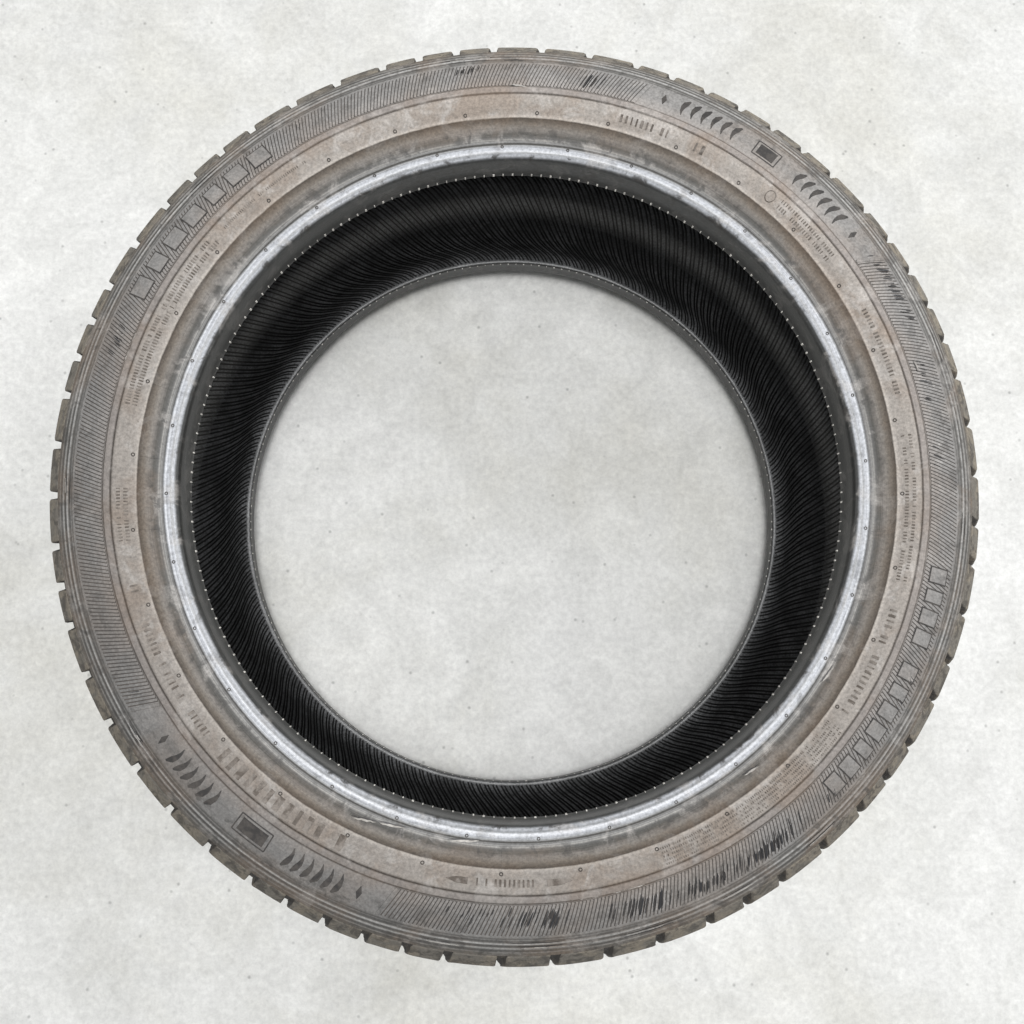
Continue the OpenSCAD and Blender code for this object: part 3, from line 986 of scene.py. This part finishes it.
mark_rubber = plain_rubber("dark panel marks", worn(48, 46, 46), worn(104, 98, 93), 0.4, 110.0, 0.6)
panel_marks = []
for start, stop in ((113.7, 120.8), (133, 140.2), (294, 302), (313, 321)):
    for i in range(6):
        foot = start + (stop - start) * i / 5
        path = [((54 + 4 * k) * MM, clockwise(foot + (0.1 * k * k - 0.25 * k))) for k in range(5)]
        panel_marks.append(strip(path, np.array((0.6, 2.2, 3.8, 4.6, 1.6)) * MM, 0.15 * MM))
for start, stop in ((124, 129), (305.5, 309.3)):
    for h in (55, 69):
        path = [(h * MM, clockwise(start + (stop - start) * k / 4)) for k in range(5)]
        panel_marks.append(strip(path, 1.1 * MM, 0.15 * MM))
    plate = [(62 * MM, clockwise(start + 0.5 + (stop - start - 1) * k / 4)) for k in range(5)]
    panel_marks.append(strip(plate, 10.5 * MM, 0.1 * MM))
    for at in (start, stop):
        path = [((55 + 3.5 * k) * MM, clockwise(at)) for k in range(5)]
        panel_marks.append(strip(path, 1.1 * MM, 0.15 * MM))
for at in (111, 143, 291, 324):
    path = [((57 + 2.5 * k) * MM, clockwise(at)) for k in range(5)]
    panel_marks.append(strip(path, np.array((0.4, 2.4, 4.4, 2.4, 0.4)) * MM, 0.15 * MM))

# The blocks stand where large print would be, in runs of (from, to, how many), clockwise
# in degrees.
blocks = []
block_base, block_height, surround = 55 * MM, 13 * MM, 1.0 * MM
for start, stop, count in ((12.5, 24, 4), (26, 46.5, 7), (204.5, 233, 7)):
    pitch = (stop - start) / count
    for i in range(count):
        at = clockwise(start + pitch * (i + 0.5))
        share = 0.56 if i % 3 == 1 else 0.68  # how much of its pitch the block fills
        wide = math.radians(pitch) * (rim_r + 62 * MM) * share
        for group, rim, up in ((panel_marks, surround, 0.2 * MM), (blocks, 0, 0.5 * MM)):
            path = [(block_base - rim + (block_height + 2 * rim) * k / 4, at) for k in range(5)]
            group.append(strip(path, wide + 2 * rim, up))
both_sides("panel_marks", panel_marks, mark_rubber)
both_sides("word_blocks", blocks, wall_rubber)

# ---------------------------------------------------------------------------
# What the mould leaves: a fine vent line across the rim guard every few degrees,
# a small ring at each end of it, and a row of flash teeth on each toe.

vent_turns = [clockwise(2.9 + 11.25 * i) for i in range(32)]
vent_path = [(guard(0.08 + 0.84 * i / 6)[0], 0) for i in range(7)]
vent_line = strip(vent_path, 0.6 * MM, 0.25 * MM)
both_sides("vent_lines", [repeat_round(vent_line, vent_turns, wall_rubber)], wall_rubber)

ring_rubber = plain_rubber("dark vent ring", worn(58, 54, 51), worn(96, 88, 80), 0.4, 80.0, 0.7)


def vent_ring(h, outer, inner):
    """A small raised ring on the side wall at a height, at no turn."""
    up, sink, sides = 0.25 * MM, 0.3 * MM, 12
    _, w, (out_h, out_w) = wall_at(h)
    base = Vector((rim_r + h, 0, middle + w))
    out = Vector((out_h, 0, out_w))
    round_it = Vector((0, 1, 0))
    third = round_it.cross(out)
    points, faces = [], []
    for reach, lift in ((outer, -sink), (outer, up), (inner, up), (inner, -sink)):
        for k in range(sides):
            a = 2 * math.pi * k / sides
            points.append(base + out * lift + (round_it * math.sin(a) + third * math.cos(a)) * reach)
    for i in range(4):
        for k in range(sides):
            m, j = (k + 1) % sides, (i + 1) % 4
            faces.append((sides * i + k, sides * i + m, sides * j + m, sides * j + k))
    mesh = bpy.data.meshes.new("vent ring")
    mesh.from_pydata(points, [], faces)
    return mesh


between = [t - math.radians(5.6) for t in vent_turns]
both_sides("vent_rings", [
    repeat_round(vent_ring(30.6 * MM, 1.5 * MM, 0.8 * MM), vent_turns, ring_rubber),
    repeat_round(vent_ring(9.0 * MM, 1.3 * MM, 0.7 * MM), between, ring_rubber)], ring_rubber)

flash_rubber = plain_rubber(
    "pale toe flash", linear(222, 219, 212), worn(150, 146, 140), 0.4, 60.0, 0.5)
tooth_count = 206
tooth_turns = [math.radians(360 / tooth_count * i) for i in range(tooth_count)]
tooth_sizes = np.ones((tooth_count, 3))
tooth_sizes[:, 1] = np.random.default_rng(3).uniform(0.5, 1.4, tooth_count)
toe_at = surface([toe, (0, face - heel - 12 * MM)])
tooth = strip([(-1.55 * MM, 0), (-1.1 * MM, 0)], 1.4 * MM, 0.55 * MM, toe_at)
both_sides("toe_flash", [repeat_round(tooth, tooth_turns, flash_rubber, tooth_sizes)], flash_rubber)

# ---------------------------------------------------------------------------
# Liner lines: pairs of thin slanting lines inside, left by the bladder that
# pressed the tyre into its mould. Black rubber, a fraction of a millimetre high.

inside = [liner_wall(i / 16) for i in range(16)] + [liner_corner(i / 16) for i in range(16)]
inside += [np.array((crown_h(w) - crown_t, w)) for w in np.linspace(corner_w, 0, 8)]
inside = np.array(inside)
inside_run = np.concatenate([[0], np.cumsum(np.linalg.norm(np.diff(inside, axis=0), axis=1))])
inside_at = surface(inside, inside_run)


def liner_at(run):
    """The liner at a run of metres from the toe, with its normal into the cavity."""
    h, w, normal = inside_at(run)
    return h, w, -normal


line_rubber = plain_rubber("black liner lines", worn(14, 14, 14), worn(26, 26, 26), 0.5, 60.0, 0.5)
line_slant = math.tan(math.radians(28))
liner_path, lean = [], 0.0
# The line's points stand closest where the liner bends most.
line_runs = np.array((1.5, 5.5, 10, 15.5, 24, 38, 51, 63, 75, 86, 98, 112, 128, 168, 217.5)) * MM
for run, step in zip(line_runs, np.diff(line_runs, append=line_runs[-1])):
    liner_path.append((run, lean))
    lean += line_slant * step / (rim_r + liner_at(run)[0])
liner_line = strip(liner_path, 1.7 * MM, 0.45 * MM, liner_at)
liner_lines = []
for apart_by in (0.0, math.radians(0.7)):
    line_turns = [t + apart_by for t in tooth_turns]
    liner_lines.append(repeat_round(liner_line, line_turns, line_rubber))
both_sides("liner_lines", liner_lines, line_rubber)

# ---------------------------------------------------------------------------
# Damage: slivers of rubber torn up along the bead, the lip and the flat ridge,
# pale where the skin has stretched and black where the inside shows.

torn_pale = plain_rubber("torn pale skin", worn(206, 202, 196), worn(150, 144, 138), 0.5, 90.0, 0.75)
torn_black = plain_rubber("torn black rubber", worn(34, 33, 35), worn(62, 58, 56), 0.5, 90.0, 0.5)
tears = np.random.default_rng(23)


def sliver(start, stop, h_start, h_stop, width, up):
    """A torn strip between two (clockwise turn, height in mm) points, thin at its ends."""
    steps = 8
    path, widths = [], []
    for k in range(steps + 1):
        t = k / steps
        h = h_start + (h_stop - h_start) * t + tears.uniform(-0.25, 0.25)
        path.append((h * MM, clockwise(start + (stop - start) * t)))
        widths.append((0.15 + math.sin(math.pi * t) ** 0.6 * tears.uniform(0.6, 1.0)) * width * MM)
    return strip(path, widths, up * MM)


# Each as (from, to, height from, height to, width, how far up), in degrees and mm
pale_tears = [
    (31.5, 34.5, 17.0, 15.5, 1.6, 0.5), (51.0, 53.5, 20.0, 18.5, 1.6, 0.5),
    (96.5, 101, 11.5, 14.5, 1.8, 0.5), (108, 112, 14, 16.5, 1.8, 0.6),
    (112.5, 116, 17, 20.5, 1.5, 0.5), (73, 78, 48.6, 48.9, 1.5, 0.4), (79, 84, 48.7, 48.3, 1.7, 0.4),
    (84.5, 88, 48.4, 48.8, 1.3, 0.4), (195, 198, 48.6, 48.9, 1.4, 0.4),
    (198.5, 201, 48.8, 48.4, 1.3, 0.4), (269, 271.5, 50.8, 48.6, 1.6, 0.4),
    (344, 345.2, 55, 56, 1.0, 0.3)]
# Each shows black rubber under it that reaches a little past its ends.
black_tears = [(a - 0.2, b + 0.3, p - 1.0, q - 1.0, w * 0.9, 0.25) for a, b, p, q, w, _ in pale_tears]
# Streaks round the fine lines, as (from, to, height, how many side by side)
for start, stop, h, count in (
        (259, 267, 80, 4), (268, 272, 78, 2), (143, 147.5, 79, 4), (60, 66, 80, 2), (70, 78, 81, 3),
        (84, 92, 79, 2), (48, 53, 82, 2), (96, 103, 80, 2), (4, 9, 79, 2), (176, 181, 78, 2),
        (338, 345, 80, 2), (220, 226, 79, 2)):
    for k in range(count):
        ends = start + tears.uniform(0, 1.5), stop - tears.uniform(0, 1.5)
        at = h - 3 + 6 * (k + 0.5) / count
        black_tears.append((*ends, at, at + tears.uniform(-0.4, 0.4), tears.uniform(0.6, 1.3), 0.2))
        if tears.random() < 0.5:
            pale_tears.append((ends[0] + 0.5, ends[1] - 0.5, at + 1.1, at + 1.1, 0.6, 0.3))
# Gouges along the ribs, as (from, to, lowest, highest, how many)
gouge_r = 316  # mm, the radius that the lean of the gouges is reckoned at
for start, stop, foot, head, count in (
        (50, 68, 56, 72, 34), (69, 79, 54, 70, 22), (83, 93, 51, 68, 18), (327, 339, 60, 71, 16),
        (343, 350, 52, 64, 8), (196, 201, 56, 66, 6), (278.5, 281.5, 52, 71, 9),
        (260, 266, 62, 71, 7), (93, 100, 52, 60, 6)):
    for _ in range(count):
        at, reach = tears.uniform(start, stop), tears.uniform(0.3, 0.8) * (head - foot)
        low_end = tears.uniform(foot, head - reach)
        black_tears.append((
            at, at + math.degrees(math.tan(rib_slant)) * reach / gouge_r, low_end, low_end + reach,
            tears.uniform(0.7, 1.5), 0.2))
for name, tears_here, finish in (
        ("torn_skin", pale_tears, torn_pale), ("torn_inside", black_tears, torn_black)):
    whole = bmesh.new()
    for tear in tears_here:
        whole.from_mesh(sliver(*tear))
    mesh = bpy.data.meshes.new(name)
    whole.to_mesh(mesh)
    whole.free()
    mesh.materials.append(finish)
    tyre_piece(add_object(name, mesh))
